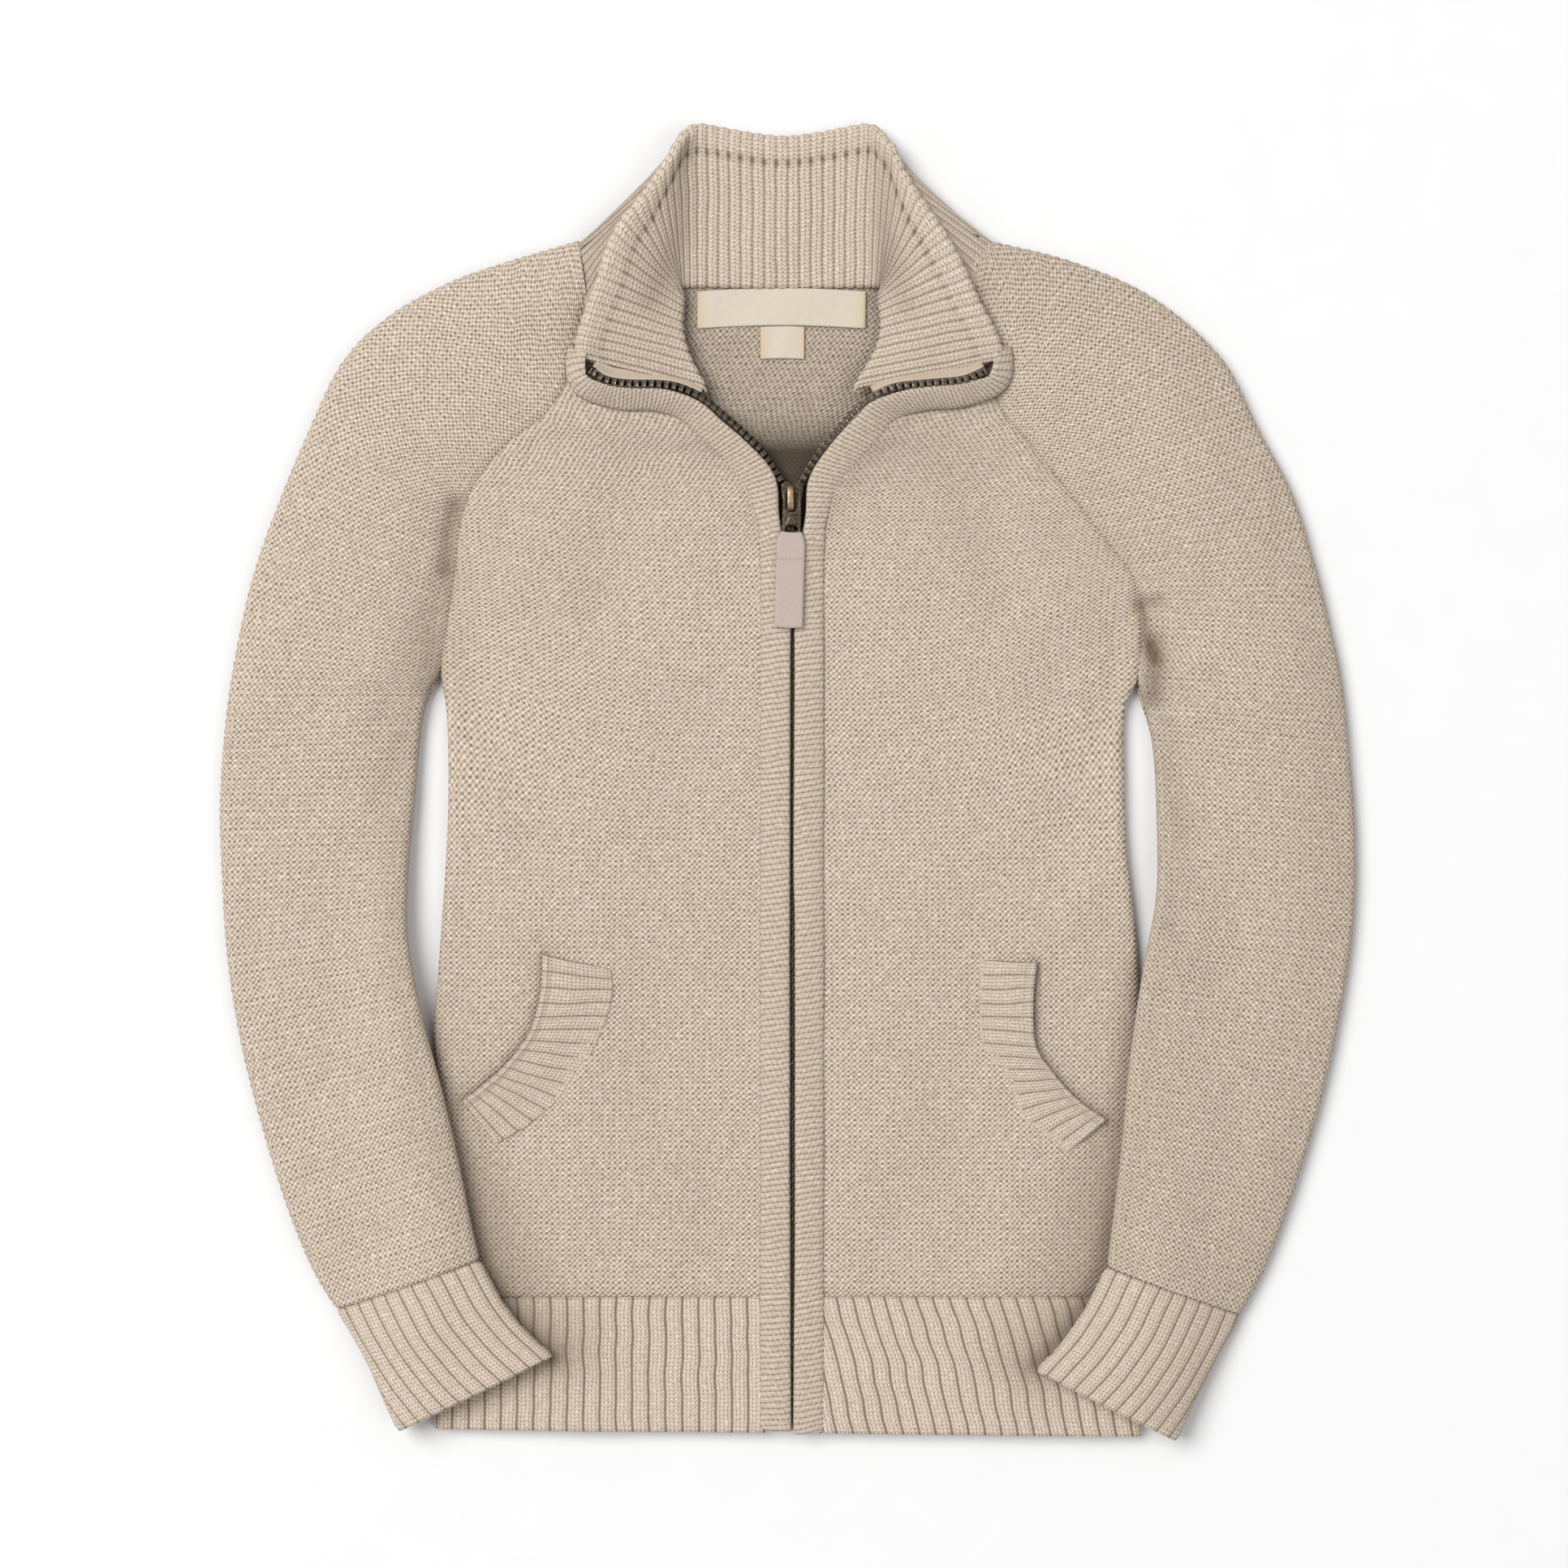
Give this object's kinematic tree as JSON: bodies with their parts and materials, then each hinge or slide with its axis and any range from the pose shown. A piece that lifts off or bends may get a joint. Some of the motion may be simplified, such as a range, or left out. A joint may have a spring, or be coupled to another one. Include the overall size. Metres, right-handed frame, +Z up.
{
  "type": "zip-front knitted cardigan sweater",
  "caption": "Child's zip-front knitted cardigan with a stand collar, raglan sleeves, ribbed hem and cuffs and side pockets, laid flat with its collar opened.",
  "frame": {"origin": "under the middle of the laid-out garment, on the surface it lies on", "axes": "+X to the right of the garment as seen from above, +Y from the hem to the collar, +Z up"},
  "size_m": [0.4205, 0.4872, 0.0178],
  "materials": {
    "knit": "oatmeal heather reverse knit",
    "rib": "oatmeal heather rib knit",
    "zip_tape": "woven zip tape",
    "brass": "dark antique",
    "twill": "herringbone twill",
    "label": "woven label, bare"
  },
  "bodies": {
    "garment": {"back": "knit", "band_left": "rib", "band_right": "rib", "collar": "rib", "cuff_left": "rib", "cuff_right": "rib", "front_left": "knit", "front_right": "knit", "hem": "rib", "neck_label": "label", "pocket_trim_left": "rib", "pocket_trim_right": "rib", "size_tag": "label", "sleeve_left": "knit", "sleeve_right": "knit", "zip_slider": "brass", "zip_tape_collar_left": "zip_tape", "zip_tape_collar_right": "zip_tape", "zip_tape_left": "zip_tape", "zip_tape_right": "zip_tape", "zip_teeth_closed_left": "brass", "zip_teeth_closed_right": "brass", "zip_teeth_left": "brass", "zip_teeth_right": "brass"},
    "pull": {"zip_pull_link": "brass", "pull_tape": "twill"}
  },
  "joints": [
    {"name": "pull_hinge", "type": "hinge", "parent": "garment", "child": "pull", "pos_m": [0.0022, 0.107, 0.0086], "axis": [-1, 0, 0], "range_deg": [0, 165]}
  ]
}
